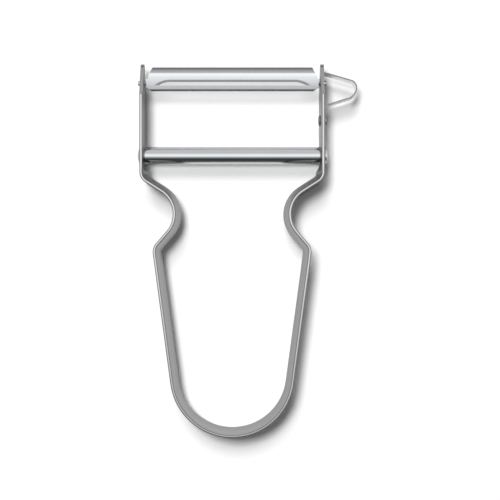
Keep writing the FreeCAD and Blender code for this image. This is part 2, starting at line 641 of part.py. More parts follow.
def blade_section(body):
    """The blade's section: a crown with a rounded front edge that rolls over to a flange at the back."""
    roll = angle("roll_angle")
    bend = angle("flange_angle")
    half = size(HALF_BLADE)
    crest = size("Sizes.blade_crest")
    crown_radius = size("Sizes.crown_radius")
    front_radius = size("Sizes.front_radius")
    roll_radius = size("Sizes.roll_radius")
    bend_outer = size(BEND_OUTER)
    bend_inner = size(BEND_INNER)
    crest_top = Vector(crest, half)
    crest_foot = Vector(crest, -half)
    front_foot = Vector(-size("Sizes.blade_front"), -half)
    crown_centre = crest_top - Vector(0, crown_radius)
    to_foot = front_foot - crown_centre
    reach = crown_radius - front_radius
    lean = math.acos((reach ** 2 + to_foot.Length ** 2 - front_radius ** 2) / (2 * reach * to_foot.Length))
    front_angle = math.atan2(to_foot.y, to_foot.x) - lean
    front_way = Vector(math.cos(front_angle), math.sin(front_angle))
    front_centre = crown_centre + front_way * reach
    front_top = crown_centre + front_way * crown_radius
    roll_centre = crest_top - Vector(0, roll_radius)
    roll_way = Vector(math.sin(roll), math.cos(roll))
    bend_centre = roll_centre + roll_way * (roll_radius - bend_outer)
    bend_way = Vector(math.sin(bend), math.cos(bend))
    flange = Vector(math.cos(bend), -math.sin(bend)) * size("Sizes.flange_length")
    outer_roll_end = bend_centre + roll_way * bend_outer
    inner_roll_end = bend_centre + roll_way * bend_inner
    outer_bend_end = bend_centre + bend_way * bend_outer
    inner_bend_end = bend_centre + bend_way * bend_inner

    sketch = new_sketch(body, "YZ_Plane", "BladeSection")
    crown = sketch.addGeometry(arc(crown_centre, crest_top, front_top))
    front = sketch.addGeometry(arc(front_centre, front_top, front_foot))
    under = sketch.addGeometry(line(front_foot, crest_foot))
    inner_roll = sketch.addGeometry(arc(roll_centre, inner_roll_end, crest_foot))
    inner_bend = sketch.addGeometry(arc(bend_centre, inner_bend_end, inner_roll_end))
    inner_flange = sketch.addGeometry(line(inner_bend_end, inner_bend_end + flange))
    back = sketch.addGeometry(line(inner_bend_end + flange, outer_bend_end + flange))
    outer_flange = sketch.addGeometry(line(outer_bend_end + flange, outer_bend_end))
    outer_bend = sketch.addGeometry(arc(bend_centre, outer_bend_end, outer_roll_end))
    outer_roll = sketch.addGeometry(arc(roll_centre, outer_roll_end, crest_top))
    join(sketch, "Tangent", [
        (outer_roll, 2, crown, 1),
        (crown, 2, front, 1),
        (under, 2, inner_roll, 2),
        (inner_roll, 1, inner_bend, 2),
        (inner_bend, 1, inner_flange, 1),
        (outer_flange, 2, outer_bend, 1),
        (outer_bend, 2, outer_roll, 1),
    ])
    join(sketch, "Coincident", [
        (front, 2, under, 1),
        (inner_flange, 2, back, 1),
        (back, 2, outer_flange, 1),
        (outer_roll, 3, inner_roll, 3),
        (outer_bend, 3, inner_bend, 3),
    ])
    join(sketch, "Vertical", [(outer_roll, 3, crown, 3)])
    sketch.addConstraint(Sketcher.Constraint("Horizontal", under))
    sketch.addConstraint(Sketcher.Constraint("Perpendicular", back, outer_flange))
    bind(sketch, "DistanceX", (-1, 1, outer_roll, 3), "Sizes.blade_crest")
    bind(sketch, "DistanceY", (-1, 1, outer_roll, 2), HALF_BLADE)
    bind(sketch, "DistanceX", (-1, 1, outer_bend, 3), BEND_Y)
    bind(sketch, "Radius", (outer_roll,), "Sizes.roll_radius")
    bind(sketch, "Radius", (outer_bend,), BEND_OUTER)
    bind(sketch, "Radius", (inner_bend,), BEND_INNER)
    bind(sketch, "Radius", (crown,), "Sizes.crown_radius")
    bind(sketch, "Radius", (front,), "Sizes.front_radius")
    bind(sketch, "Angle", (outer_flange,), "180 deg - Sizes.flange_angle * 1 deg")
    bind(sketch, "Distance", (outer_flange,), "Sizes.flange_length")
    bind(sketch, "DistanceX", (front, 2, -1, 1), "Sizes.blade_front")
    return sketch


def shoulder_cut(body, name, side, edge, setback):
    """The corner taken off one end of the blade: along the neck, then to the edge, set back along it."""
    sketch = new_sketch(body, "XY_Plane", name)
    neck = "Sizes.neck_height / 2"
    margin = "Sizes.blade_thickness"
    neck_start = f"{BLADE_END} - Sizes.neck_length"
    end = size(BLADE_END)
    neck_y, edge_y = side * size(neck), side * size(edge)
    corner_x = end - size(setback)
    beyond = Vector(size(margin), 0)
    closed_outline(sketch, [
        Vector(end, neck_y) + beyond,
        Vector(size(neck_start), neck_y),
        Vector(corner_x, edge_y),
        Vector(corner_x, edge_y + side * size(margin)),
        Vector(end, edge_y + side * size(margin)) + beyond,
    ])
    sketch.addConstraint(Sketcher.Constraint("Horizontal", 0))
    sketch.addConstraint(Sketcher.Constraint("Vertical", 2))
    sketch.addConstraint(Sketcher.Constraint("Horizontal", 3))
    sketch.addConstraint(Sketcher.Constraint("Vertical", 4))
    bind(sketch, "DistanceX", (-1, 1, 1, 1), neck_start)
    bind(sketch, "DistanceX", (-1, 1, 0, 1), f"{BLADE_END} + {margin}")
    bind(sketch, "DistanceX", (-1, 1, 2, 1), f"{BLADE_END} - {setback}")
    bind(sketch, "DistanceY", (-1, 1, 1, 1), f"({side}) * {neck}")
    bind(sketch, "DistanceY", (-1, 1, 2, 1), f"({side}) * {edge}")
    bind(sketch, "DistanceY", (-1, 1, 3, 1), f"({side}) * ({edge} + {margin})")
    doc.recompute()
    return cut_through(body, sketch, name + "Cut")


def slot_outline(body):
    """The slot's outline: its upper edge curves down to the lower one at both ends."""
    above = size("Sizes.slot_above")
    below = -size("Sizes.slot_below")
    end_radius = size("Sizes.slot_end_radius")
    foot = Vector(size(SLOT_END), below)
    end_centre_y = above - end_radius
    end_centre = Vector(foot.x - math.sqrt(end_radius ** 2 - (below - end_centre_y) ** 2), end_centre_y)
    end_top = Vector(end_centre.x, above)

    def left(point):
        return Vector(-point.x, point.y)

    sketch = new_sketch(body, "XY_Plane", "SlotOutline")
    upper = sketch.addGeometry(line(end_top, left(end_top)))
    left_end = sketch.addGeometry(arc(left(end_centre), left(end_top), left(foot)))
    lower = sketch.addGeometry(line(left(foot), foot))
    right_end = sketch.addGeometry(arc(end_centre, foot, end_top))
    join(sketch, "Tangent", [(right_end, 2, upper, 1), (upper, 2, left_end, 1)])
    join(sketch, "Coincident", [(left_end, 2, lower, 1), (lower, 2, right_end, 1)])
    for edge in (upper, lower):
        sketch.addConstraint(Sketcher.Constraint("Symmetric", edge, 1, edge, 2, -2))
    bind(sketch, "DistanceY", (-1, 1, upper, 1), "Sizes.slot_above")
    bind(sketch, "DistanceY", (lower, 1, -1, 1), "Sizes.slot_below")
    bind(sketch, "DistanceX", (lower, 1, lower, 2), f"2 * {SLOT_END}")
    bind(sketch, "Radius", (right_end,), "Sizes.slot_end_radius")
    return sketch


def journal_outline(body):
    """The right journal's outline above its axis: a cone that grows out of the sheet, then the round pin."""
    radius = size("Sizes.journal_diameter") / 2
    rounding = size("Sizes.journal_round")
    foot_x, neck_x, end_x = size(f"{BLADE_END} - Sizes.journal_root"), size(BLADE_END), size(JOURNAL_END)
    foot = Vector(foot_x, size(HALF_BLADE) / 2)
    neck = Vector(neck_x, radius)
    pin_top = Vector(end_x - rounding, radius)
    pin_end = Vector(end_x, radius - rounding)
    sketch = new_sketch(body, "XY_Plane", "JournalOutline")
    edges = [
        line(Vector(foot_x, 0), Vector(end_x, 0)),
        line(Vector(end_x, 0), pin_end),
        arc(Vector(pin_top.x, pin_end.y), pin_end, pin_top),
        line(pin_top, neck),
        line(neck, foot),
        line(foot, Vector(foot_x, 0)),
    ]
    for edge in edges:
        sketch.addGeometry(edge)
    axis, end_face, corner, pin, cone, root = range(len(edges))
    join(sketch, "Tangent", [(end_face, 2, corner, 1), (corner, 2, pin, 1)])
    join(sketch, "Coincident", [
        (axis, 2, end_face, 1),
        (pin, 2, cone, 1),
        (cone, 2, root, 1),
        (root, 2, axis, 1),
    ])
    sketch.addConstraint(Sketcher.Constraint("PointOnObject", axis, 1, -1))
    for level in (axis, pin):
        sketch.addConstraint(Sketcher.Constraint("Horizontal", level))
    for upright in (end_face, root):
        sketch.addConstraint(Sketcher.Constraint("Vertical", upright))
    bind(sketch, "DistanceX", (-1, 1, axis, 1), f"{BLADE_END} - Sizes.journal_root")
    bind(sketch, "DistanceX", (-1, 1, axis, 2), JOURNAL_END)
    bind(sketch, "DistanceX", (-1, 1, cone, 1), BLADE_END)
    bind(sketch, "DistanceY", (-1, 1, cone, 1), "Sizes.journal_diameter / 2")
    bind(sketch, "DistanceY", (-1, 1, cone, 2), f"{HALF_BLADE} / 2")
    bind(sketch, "Radius", (corner,), "Sizes.journal_round")
    doc.recompute()
    return sketch


def nearest_edge(shape, point):
    """The name of the edge whose middle is nearest to the point."""
    distances = [(edge.CenterOfMass - point).Length for edge in shape.Edges]
    return f"Edge{distances.index(min(distances)) + 1}"


def make_blade():
    """The blade. Its lip, ground on top along the slot's upper edge, runs on round both curved ends."""
    body = new_body("blade")
    section_sketch = blade_section(body)
    doc.recompute()
    pad(body, section_sketch, "Sheet", BLADE_END)
    shoulder_cut(body, "BackShoulder", 1, FLANGE_BACK, "Sizes.shoulder_back")
    shoulder_cut(body, "FrontShoulder", -1, "Sizes.blade_front", "Sizes.shoulder_front")
    revolve_about_x(body, journal_outline(body), "Journal")
    mirror_whole(body, "BothEnds")

    slot = cut_through(body, slot_outline(body), "Slot")
    slot_top = Vector(0, size("Sizes.slot_above"), size(HALF_BLADE))
    lip = body.newObject("PartDesign::Chamfer", "Lip")
    lip.Base = (slot, [nearest_edge(slot.Shape, slot_top)])
    lip.ChamferType = "Two distances"
    lip.setExpression("Size", "Sizes.lip_width")
    lip.setExpression("Size2", "Sizes.lip_depth")
    doc.recompute()

    body.Placement.Rotation = FreeCAD.Rotation(Vector(1, 0, 0), size("Sizes.blade_lean"))
    body.setExpression(".Placement.Rotation.Angle", "Sizes.blade_lean * 1 deg")
    place(body, y=PIVOT_HEIGHT, z=MID)
    return body


def check(feature):
    """Stops the run unless the object was rebuilt without an error."""
    if {"Invalid", "Error"} & set(feature.State):
        raise RuntimeError(f"{feature.Label} did not rebuild: {feature.State} {feature.getStatusString()}")


bodies = [
    make_handle_band(),
    make_spacer_tube(),
    make_tie_rivet(),
    make_eye_remover(),
    make_eye_remover_rivet(),
    make_blade(),
]
doc.recompute()
for feature in doc.Objects:
    check(feature)
os.makedirs("parts", exist_ok=True)
for body in bodies:
    shape = body.Shape
    if shape.isNull() or not shape.isValid() or len(shape.Solids) != 1:
        raise RuntimeError(f"{body.Label} is not one valid solid")
    shape.exportStep(f"parts/{body.Label}.step")
    box = shape.BoundBox
    print(body.Label, "volume", round(shape.Volume, 2), "box", [round(v, 2) for v in (
        box.XMin, box.XMax, box.YMin, box.YMax, box.ZMin, box.ZMax)])
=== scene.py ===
import math

import bpy
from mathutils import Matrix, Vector


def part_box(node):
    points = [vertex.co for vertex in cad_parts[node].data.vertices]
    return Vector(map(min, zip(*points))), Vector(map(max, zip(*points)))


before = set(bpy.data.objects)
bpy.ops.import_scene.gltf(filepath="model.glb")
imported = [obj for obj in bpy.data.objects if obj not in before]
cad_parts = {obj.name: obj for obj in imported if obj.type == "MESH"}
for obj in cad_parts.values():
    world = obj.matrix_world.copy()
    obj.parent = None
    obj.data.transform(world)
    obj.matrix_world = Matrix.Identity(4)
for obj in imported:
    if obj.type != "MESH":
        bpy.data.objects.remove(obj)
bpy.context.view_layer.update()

bl_info = {
    "name": "Swivel peeler finishes",
    "version": (1, 0, 0),
    "blender": (4, 5, 0),
    "location": "View3D > Sidebar > Peeler",
    "description": "Steel finishes, floor, light and camera for a swivel vegetable peeler",
    "category": "Object",
}

# The view's width and distance are given at the strip's upper edge. Its lower edge lies on the floor.
BAND_LOW, BAND_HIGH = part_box("handle_band")
# Width of the camera's sensor, in millimetres.
SENSOR_WIDTH = 36.0

# Length of a line of the grain along X, Y and Z on each piece, as a multiple of the grain's pitch.
STRIP_GRAIN = (60, 60, 1)
BLADE_GRAIN = (1, 30, 30)
BAR_GRAIN = (80, 1, 1)
RIVET_GRAIN = (1, 4, 4)
SPRING_GRAIN = (40, 40, 1)

# What all the steel shares: how far its tone swings, its smears, its rubbed edges and the grain's bump.
TONE_SWING = 0.05
SMEARS_PER_METRE = 180.0
EDGE_RADIUS = 0.00012
EDGE_CONTRAST = 4.0
GRAIN_BUMP = 0.5

# Where the painted shade on the flanks and the painted highlight on the crest of the strip's round edges
# start and are full: 0 faces sideways, 1 straight up or down.
FLANK_SHADE_FACING = (0.5, 0.6)
CREST_HIGHLIGHT_FACING = (0.85, 0.95)
# Share of the flange's painted dark reflection over which it grows to full.
FLANGE_GROWTH = 0.7
# Depth of the painted shade on the eye remover's upper and lower edges, in metres.
EDGE_SHADE_DEPTH = 0.0001

# Grey levels of the studio that metal mirrors, by lean from straight up in degrees. The two are multiplied.
# The first runs from the grip's side to the blade's, the second from the left arm's side to the right arm's.
STUDIO_ALONG = (
    (-90, 0.35), (-78, 0.16), (-64, 0.06), (-50, 0.06), (-36, 0.16), (-24, 0.54), (-11, 1.26),
    (1, 1.65), (13, 1.42), (26, 1.07), (39, 0.86), (53, 0.91), (67, 0.93), (90, 0.82),
)
STUDIO_ACROSS = ((-90, 0.75), (-48, 0.30), (-25, 1.0), (25, 1.0), (48, 0.30), (90, 0.75))
# Strength of the studio for rays that only light something.
FILL_STRENGTH = 0.25
# Colour of the studio as the camera sees it.
BACKDROP = (1, 1, 1, 1)
# Solid angle that a point lamp shines into.
FULL_SPHERE = 4 * math.pi


class PeelerFinish(bpy.types.PropertyGroup):
    """Colours and surface textures of the peeler's steel."""

    strip_colour: bpy.props.FloatVectorProperty(
        name="Strip colour", description="Satin steel of the bent strip",
        default=(0.39, 0.393, 0.39), size=3, subtype="COLOR", min=0, max=1)
    strip_roughness: bpy.props.FloatProperty(
        name="Strip roughness", description="Mean roughness of the satin strip",
        default=0.32, min=0, max=1, subtype="FACTOR")
    # Painted highlight: the crest of the round edges is painted brighter than the strip.
    crest_highlight_colour: bpy.props.FloatVectorProperty(
        name="Rim colour", description="Tumbled steel on the crest of the strip's two round edges",
        default=(0.50, 0.503, 0.50), size=3, subtype="COLOR", min=0, max=1)
    rim_roughness: bpy.props.FloatProperty(
        name="Rim roughness", description="Mean roughness on the crest of the strip's two round edges",
        default=0.16, min=0, max=1, subtype="FACTOR")
    # Painted shade: the flanks of the round edges are painted darker than the strip.
    flank_shade_colour: bpy.props.FloatVectorProperty(
        name="Edge colour", description="Duller steel on both sides of the crest of the strip's round edges",
        default=(0.22, 0.222, 0.22), size=3, subtype="COLOR", min=0, max=1)
    # The painted crest highlight is half at the grip's bottom and full at this distance from it.
    crest_highlight_fade: bpy.props.FloatProperty(
        name="Rim fade", description="Distance from the grip's bottom at which the crest is fully bright",
        default=0.065, min=0.001, max=0.2, subtype="DISTANCE", unit="LENGTH")
    bar_colour: bpy.props.FloatVectorProperty(
        name="Bar colour", description="Polished steel of the cross bar",
        default=(0.555, 0.572, 0.585), size=3, subtype="COLOR", min=0, max=1)
    bar_roughness: bpy.props.FloatProperty(
        name="Bar roughness", description="Mean roughness of the polished bar",
        default=0.09, min=0, max=1, subtype="FACTOR")
    blade_colour: bpy.props.FloatVectorProperty(
        name="Blade colour", description="Ground and polished steel of the blade",
        default=(0.59, 0.607, 0.62), size=3, subtype="COLOR", min=0, max=1)
    blade_roughness: bpy.props.FloatProperty(
        name="Blade roughness", description="Mean roughness of the blade",
        default=0.14, min=0, max=1, subtype="FACTOR")
    # Painted dark reflection along the free edge of the blade's flange.
    flange_dark_reflection_colour: bpy.props.FloatVectorProperty(
        name="Flange colour", description="Unpolished steel along the edge of the blade's bent flange",
        default=(0.19, 0.195, 0.20), size=3, subtype="COLOR", min=0, max=1)
    flange_roughness: bpy.props.FloatProperty(
        name="Flange roughness", description="Mean roughness along the edge of the blade's flange",
        default=0.24, min=0, max=1, subtype="FACTOR")
    # Width of the painted dark reflection along the flange's free edge.
    flange_fade: bpy.props.FloatProperty(
        name="Flange fade", description="Width of the dull band along the free edge of the blade's flange",
        default=0.0020, min=0.0001, max=0.005, subtype="DISTANCE", unit="LENGTH")
    spring_colour: bpy.props.FloatVectorProperty(
        name="Eye remover colour", description="Bright rolled steel of the eye remover",
        default=(0.70, 0.70, 0.70), size=3, subtype="COLOR", min=0, max=1)
    # Painted shade on the upper and lower edges of the eye remover's strip.
    spring_edge_shade_colour: bpy.props.FloatVectorProperty(
        name="Eye remover edge colour", description="Sheared edges of the eye remover's strip",
        default=(0.22, 0.22, 0.22), size=3, subtype="COLOR", min=0, max=1)
    spring_roughness: bpy.props.FloatProperty(
        name="Eye remover roughness", description="Mean roughness of the eye remover",
        default=0.22, min=0, max=1, subtype="FACTOR")
    tie_colour: bpy.props.FloatVectorProperty(
        name="Tie rivet colour", description="Bright headed steel of the rivet through the cross bar",
        default=(0.60, 0.60, 0.605), size=3, subtype="COLOR", min=0, max=1)
    eye_rivet_colour: bpy.props.FloatVectorProperty(
        name="Eye remover rivet colour", description="Duller steel of the small rivet",
        default=(0.30, 0.30, 0.30), size=3, subtype="COLOR", min=0, max=1)
    rivet_roughness: bpy.props.FloatProperty(
        name="Rivet roughness", description="Mean roughness of the rivets",
        default=0.2, min=0, max=1, subtype="FACTOR")
    grain_pitch: bpy.props.FloatProperty(
        name="Grain pitch", description="Width of one line of the drawn or ground grain",
        default=0.00012, min=0.00001, max=0.002, subtype="DISTANCE", unit="LENGTH")
    grain_depth: bpy.props.FloatProperty(
        name="Grain depth", description="Depth of the drawn or ground grain",
        default=0.000004, min=0, max=0.0001, subtype="DISTANCE", unit="LENGTH")
    edge_wear: bpy.props.FloatProperty(
        name="Edge wear", description="How much brighter the rubbed edges are",
        default=0.18, min=0, max=1, subtype="FACTOR")


class PeelerStage(bpy.types.PropertyGroup):
    """Floor, light and camera."""

    view_width: bpy.props.FloatProperty(
        name="View width", description="Width of the picture at the strip's upper edge",
        default=0.14625, min=0.05, max=1, subtype="DISTANCE", unit="LENGTH")
    view_distance: bpy.props.FloatProperty(
        name="View distance", description="Height of the camera above the strip's upper edge",
        default=0.304, min=0.1, max=2, subtype="DISTANCE", unit="LENGTH")
    view_foot: bpy.props.FloatVectorProperty(
        name="View foot", description="Point of the peeler straight below the camera",
        default=(0.004, 0.051), size=2, subtype="TRANSLATION", unit="LENGTH")
    view_centre: bpy.props.FloatVectorProperty(
        name="View centre", description="Point of the strip's upper edge plane in the middle of the picture",
        default=(0.00524, 0.0546), size=2, subtype="TRANSLATION", unit="LENGTH")
    key_place: bpy.props.FloatVectorProperty(
        name="Key place", description="Middle of the key lamp",
        default=(-0.120, 0.172, 0.600), size=3, subtype="TRANSLATION", unit="LENGTH")
    key_radius: bpy.props.FloatProperty(
        name="Key radius", description="Radius of the key lamp, which softens the shadows",
        default=0.080, min=0, max=0.3, subtype="DISTANCE", unit="LENGTH")
    key_strength: bpy.props.FloatProperty(
        name="Key strength", description="Light of the key lamp on a face turned to it, in W/m2",
        default=1.85, min=0, max=20)
    low_lean: bpy.props.FloatVectorProperty(
        name="Low light lean", description="How far the low light leans to the eye remover and to the blade",
        default=(math.radians(-9.5), math.radians(29)), size=2, subtype="EULER", unit="ROTATION")
    low_spread: bpy.props.FloatProperty(
        name="Low light spread", description="Angle that the low light fills",
        default=math.radians(22), min=0, max=math.pi, subtype="ANGLE", unit="ROTATION")
    low_strength: bpy.props.FloatProperty(
        name="Low light strength", description="Light of the low light on a face turned to it, in W/m2",
        default=1.5, min=0, max=20)
    floor_colour: bpy.props.FloatVectorProperty(
        name="Floor colour", description="Plain pale floor",
        default=(0.93, 0.93, 0.93), size=3, subtype="COLOR", min=0, max=1)
    floor_size: bpy.props.FloatProperty(
        name="Floor size", description="Side of the square floor",
        default=6.0, min=0.2, max=50, subtype="DISTANCE", unit="LENGTH")
    floor_near: bpy.props.FloatProperty(
        name="Floor shadows", description="Distance from the middle at which the floor's white starts",
        default=0.2, min=0.05, max=10, subtype="DISTANCE", unit="LENGTH")
    floor_far: bpy.props.FloatProperty(
        name="Floor white", description="Distance from the middle at which the floor has run out to white",
        default=0.9, min=0.1, max=20, subtype="DISTANCE", unit="LENGTH")


class NodeGraph:
    """Adds nodes to a node tree and joins them."""

    def __init__(self, tree):
        self.tree = tree
        tree.nodes.clear()

    def add(self, kind, **settings):
        node = self.tree.nodes.new(kind)
        for name, setting in settings.items():
            setattr(node, name, setting)
        return node

    def feed(self, socket, source):
        """Gives an input a value, or joins it to another node's output."""
        if isinstance(source, bpy.types.NodeSocket):
            self.tree.links.new(source, socket)
        else:
            socket.default_value = source

    def math(self, operation, *sources, clamp=False):
        node = self.add("ShaderNodeMath", operation=operation, use_clamp=clamp)
        for socket, source in zip(node.inputs, sources):
            self.feed(socket, source)
        return node.outputs[0]

    def vector_math(self, operation, *sources):
        node = self.add("ShaderNodeVectorMath", operation=operation)
        for socket, source in zip(node.inputs, sources):
            self.feed(socket, source)
        return node.outputs["Value" if operation in ("DOT_PRODUCT", "LENGTH") else "Vector"]

    def noise(self, coordinates, scale, detail=2.0, roughness=0.5):
        """Noise from 0 to 1; the scale is given along each axis, in cycles per metre."""
        stretched = self.vector_math("MULTIPLY", coordinates, scale)
        node = self.add("ShaderNodeTexNoise", noise_dimensions="3D")
        self.feed(node.inputs["Vector"], stretched)
        self.feed(node.inputs["Scale"], 1.0)
        self.feed(node.inputs["Detail"], detail)
        self.feed(node.inputs["Roughness"], roughness)
        return node.outputs["Fac"]

    def spread(self, source, low, high):
        """Maps 0..1 to low..high."""
        node = self.add("ShaderNodeMapRange")
        self.feed(node.inputs["Value"], source)
        self.feed(node.inputs["To Min"], low)
        self.feed(node.inputs["To Max"], high)
        return node.outputs["Result"]

    def part(self, vector, axis):
        """One component of a vector."""
        node = self.add("ShaderNodeSeparateXYZ")
        self.feed(node.inputs["Vector"], vector)
        return node.outputs[axis]

    def rise(self, source, start, end):
        """0 up to start, 1 from end on, and straight between."""
        return self.math("DIVIDE", self.math("SUBTRACT", source, start), end - start, clamp=True)

    def mix_colour(self, factor, first, second, blend_type="MIX"):
        node = self.add("ShaderNodeMix", data_type="RGBA", blend_type=blend_type)
        self.feed(node.inputs["Factor"], factor)
        self.feed(node.inputs["A"], first)
        self.feed(node.inputs["B"], second)
        return node.outputs["Result"]


def rubbed_edges(graph, radius):
    """A mask that is 1 along sharp edges, and the rounded normal that it is made from."""
    bevel = graph.add("ShaderNodeBevel", samples=4)
    graph.feed(bevel.inputs["Radius"], radius)
    geometry = graph.add("ShaderNodeNewGeometry")
    likeness = graph.vector_math("DOT_PRODUCT", bevel.outputs["Normal"], geometry.outputs["Normal"])
    bend = graph.math("SUBTRACT", 1.0, likeness)
    return graph.math("MULTIPLY", bend, EDGE_CONTRAST, clamp=True), bevel.outputs["Normal"]


def steel(name, colour, roughness, grain_along, finish,
          rough_swing=0.06, wear_share=1.0, grazing=0.55, patches=()):
    """Steel with fine grain along one direction, faint smears and rubbed edges.

    grain_along is the length of a grain line along X, Y and Z, as a multiple of the grain's pitch.
    rough_swing is how far the grain moves the roughness, and the smears move it half as far.
    wear_share is how much of the edge wear shows.
    grazing is how bright the steel stays where it is seen at a low angle.
    Each of the patches is the mask, colour and roughness of a part of the surface with painted shade, a
    painted highlight or a painted reflection.
    """
    material = bpy.data.materials.new(name)
    material.use_nodes = True
    graph = NodeGraph(material.node_tree)
    output = graph.add("ShaderNodeOutputMaterial")
    shader = graph.add("ShaderNodeBsdfPrincipled")
    graph.feed(output.inputs["Surface"], shader.outputs["BSDF"])
    coordinates = graph.add("ShaderNodeTexCoord")
    place = coordinates.outputs["Object"]

    pitch = finish.grain_pitch
    grain = graph.noise(place, [1 / (pitch * length) for length in grain_along], detail=3.0, roughness=0.6)
    smear = graph.noise(place, [SMEARS_PER_METRE] * 3, detail=3.0)
    wear, soft_normal = rubbed_edges(graph, EDGE_RADIUS)

    base = (*colour, 1)
    base_roughness = roughness
    for make_mask, patch_colour, patch_roughness in patches:
        mask = make_mask(graph, coordinates)
        base = graph.mix_colour(mask, base, (*patch_colour, 1))
        base_roughness = graph.spread(mask, base_roughness, patch_roughness)
    tone = graph.spread(graph.math("MULTIPLY", grain, smear), 1 - TONE_SWING, 1 + TONE_SWING)
    toned = graph.mix_colour(1.0, base, tone, blend_type="MULTIPLY")
    gain = 1 + finish.edge_wear * wear_share
    rubbed = graph.mix_colour(1.0, toned, (gain, gain, gain, 1), blend_type="MULTIPLY")
    graph.feed(shader.inputs["Base Color"], graph.mix_colour(wear, toned, rubbed))
    grain_rough = graph.spread(grain, -rough_swing, rough_swing)
    smear_rough = graph.spread(smear, -rough_swing / 2, rough_swing / 2)
    swing = graph.math("ADD", grain_rough, smear_rough)
    graph.feed(shader.inputs["Roughness"], graph.math("ADD", base_roughness, swing, clamp=True))
    shader.inputs["Metallic"].default_value = 1.0
    shader.inputs["Specular Tint"].default_value = (grazing, grazing, grazing, 1)

    bump = graph.add("ShaderNodeBump")
    bump.inputs["Strength"].default_value = GRAIN_BUMP
    bump.inputs["Distance"].default_value = finish.grain_depth
    graph.feed(bump.inputs["Height"], grain)
    graph.feed(bump.inputs["Normal"], soft_normal)
    graph.feed(shader.inputs["Normal"], bump.outputs["Normal"])
    return material


def edge_mask(node, depth):
    """Makes a mask for painted shade that is 1 on the upper and lower edge of a strip on its side, and 0 on
    its wide faces.
    """
    low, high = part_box(node)
    middle = (low.z + high.z) / 2
    start = high.z - middle - depth

    def mask(graph, coordinates):
        z = graph.part(coordinates.outputs["Object"], "Z")
        height = graph.math("ABSOLUTE", graph.math("SUBTRACT", z, middle))
        return graph.rise(height, start, start + depth / 2)

    return mask


def dress(node, material):
    """Gives a CAD node its finish."""
    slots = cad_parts[node].material_slots
    if not slots:
        raise RuntimeError(f"{node} has no material slot")
    for slot in slots:
        slot.material = material


class PEELER_OT_strip(bpy.types.Operator):
    """Satin finish of the bent strip, drawn along its length"""

    bl_idname = "peeler.strip"
    bl_label = "Bent strip"

    def execute(self, context):
        finish = context.scene.peeler_finish

        def facing(graph, coordinates, limits):
            """0 to 1 between two limits of how far the surface faces up or down."""
            tilt = graph.math("ABSOLUTE", graph.part(coordinates.outputs["Normal"], "Z"))
            return graph.rise(tilt, *limits)

        def painted_flank_shade(graph, coordinates):
            """Painted shade on the flanks of the strip's two round edges."""
            return facing(graph, coordinates, FLANK_SHADE_FACING)

        def painted_crest_highlight(graph, coordinates):
            """Painted highlight on the crest of the round edges, half bright at the grip's bottom and full
            towards the arms.
            """
            along = graph.part(coordinates.outputs["Object"], "Y")
            share = graph.rise(along, -finish.crest_highlight_fade, finish.crest_highlight_fade)
            return graph.math("MULTIPLY", facing(graph, coordinates, CREST_HIGHLIGHT_FACING), share)

        # Painted shade on the flanks of the round edges and a painted highlight on their crest.
        edges = (painted_flank_shade, finish.flank_shade_colour, finish.strip_roughness)
        crest = (painted_crest_highlight, finish.crest_highlight_colour, finish.rim_roughness)
        satin = steel("satin_strip", finish.strip_colour, finish.strip_roughness, STRIP_GRAIN, finish,
                      patches=(edges, crest))
        dress("handle_band", satin)
        return {"FINISHED"}


class PEELER_OT_blade(bpy.types.Operator):
    """Ground and polished finish of the swinging blade"""

    bl_idname = "peeler.blade"
    bl_label = "Blade"

    def execute(self, context):
        finish = context.scene.peeler_finish
        flange_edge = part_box("blade")[1].y
        fade_start = flange_edge - finish.flange_fade

        def flange(graph, coordinates):
            """Mask of the painted dark reflection: 0 on the blade's polished top, rising to 1 at the free
            edge of the flange.
            """
            y = graph.part(coordinates.outputs["Object"], "Y")
            return graph.rise(y, fade_start, fade_start + finish.flange_fade * FLANGE_GROWTH)

        # Painted dark reflection along the free edge of the flange.
        painted_flange_reflection = (flange, finish.flange_dark_reflection_colour, finish.flange_roughness)
        ground = steel("ground_blade", finish.blade_colour, finish.blade_roughness, BLADE_GRAIN, finish,
                       rough_swing=0.03, wear_share=0.2, patches=(painted_flange_reflection,))
        dress("blade", ground)
        return {"FINISHED"}


class PEELER_OT_bar(bpy.types.Operator):
    """Polished finish of the cross bar"""

    bl_idname = "peeler.bar"
    bl_label = "Cross bar"

    def execute(self, context):
        finish = context.scene.peeler_finish
        polished = steel("polished_bar", finish.bar_colour, finish.bar_roughness, BAR_GRAIN, finish,
                         rough_swing=0.025)
        dress("spacer_tube", polished)
        return {"FINISHED"}


class PEELER_OT_rivets(bpy.types.Operator):
    """Bright finish of the two rivets"""

    bl_idname = "peeler.rivets"
    bl_label = "Rivets"

    def execute(self, context):
        finish = context.scene.peeler_finish
        colours = {"tie_rivet": finish.tie_colour, "eye_remover_rivet": finish.eye_rivet_colour}
        for node, colour in colours.items():
            headed = steel(f"headed_{node}", colour, finish.rivet_roughness, RIVET_GRAIN, finish,
                           rough_swing=0.05)
            dress(node, headed)
        return {"FINISHED"}


class PEELER_OT_eye_remover(bpy.types.Operator):
    """Bright rolled finish of the eye remover"""

    bl_idname = "peeler.eye_remover"
    bl_label = "Eye remover"

    def execute(self, context):
        finish = context.scene.peeler_finish
        # Painted shade on the upper and lower edges of the strip.
        edges = edge_mask("eye_remover", EDGE_SHADE_DEPTH)
        painted_edge_shade = (edges, finish.spring_edge_shade_colour, finish.spring_roughness)
        rolled = steel("rolled_spring", finish.spring_colour, finish.spring_roughness, SPRING_GRAIN, finish,
                       wear_share=0.0, grazing=1.0, patches=(painted_edge_shade,))
        dress("eye_remover", rolled)
        return {"FINISHED"}


